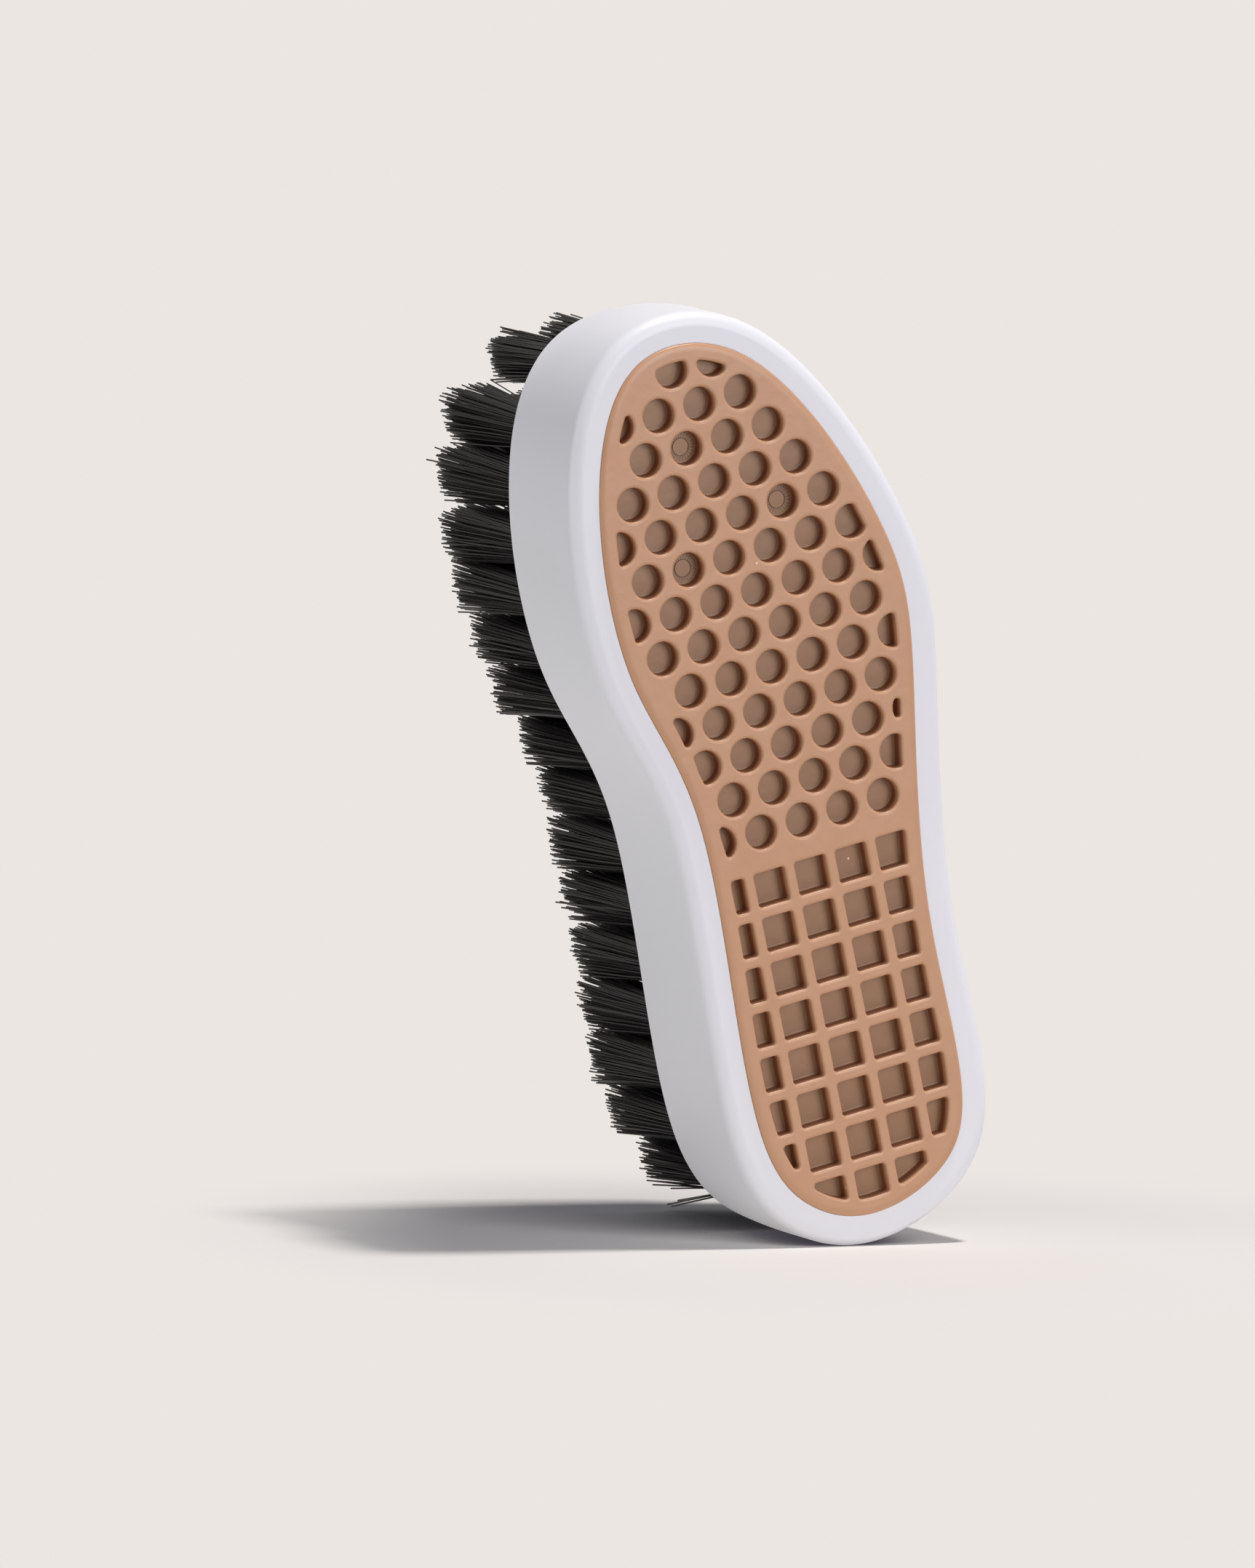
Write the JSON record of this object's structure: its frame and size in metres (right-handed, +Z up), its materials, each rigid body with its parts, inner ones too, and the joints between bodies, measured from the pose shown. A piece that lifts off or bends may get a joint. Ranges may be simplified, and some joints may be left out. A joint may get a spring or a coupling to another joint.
{
  "type": "shoe brush",
  "caption": "Hand brush for shoes: sole-shaped white plastic grip with a tan rubber tread pad on top and tufts of black bristles below.",
  "frame": {"origin": "on the floor plane under the bristle tips, below the middle of the body's length and width", "axes": "+X to the toe end of the sole shape, +Y to its arch side, +Z up through the tread; the brush lies on its bristles"},
  "size_m": [0.129, 0.0504, 0.0444],
  "materials": {
    "white_plastic": "smooth moulded plastic, satin to semi-gloss",
    "tan_rubber": "satin moulded rubber",
    "adhesive_film": "matt adhesive film",
    "black_bristle": "black nylon filament with a soft sheen"
  },
  "bodies": {
    "root": {"cover_shell": "white_plastic", "pad_tape": "adhesive_film", "tread_pad": "tan_rubber", "tuft_plate": "white_plastic", "tuft_row_01": "black_bristle", "tuft_row_02": "black_bristle", "tuft_row_03": "black_bristle", "tuft_row_04": "black_bristle", "tuft_row_05": "black_bristle", "tuft_row_06": "black_bristle", "tuft_row_07": "black_bristle", "tuft_row_08": "black_bristle", "tuft_row_09": "black_bristle", "tuft_row_10": "black_bristle", "tuft_row_11": "black_bristle", "tuft_row_12": "black_bristle", "tuft_row_13": "black_bristle", "tuft_row_14": "black_bristle", "tuft_row_15": "black_bristle", "tuft_row_16": "black_bristle"}
  },
  "joints": []
}
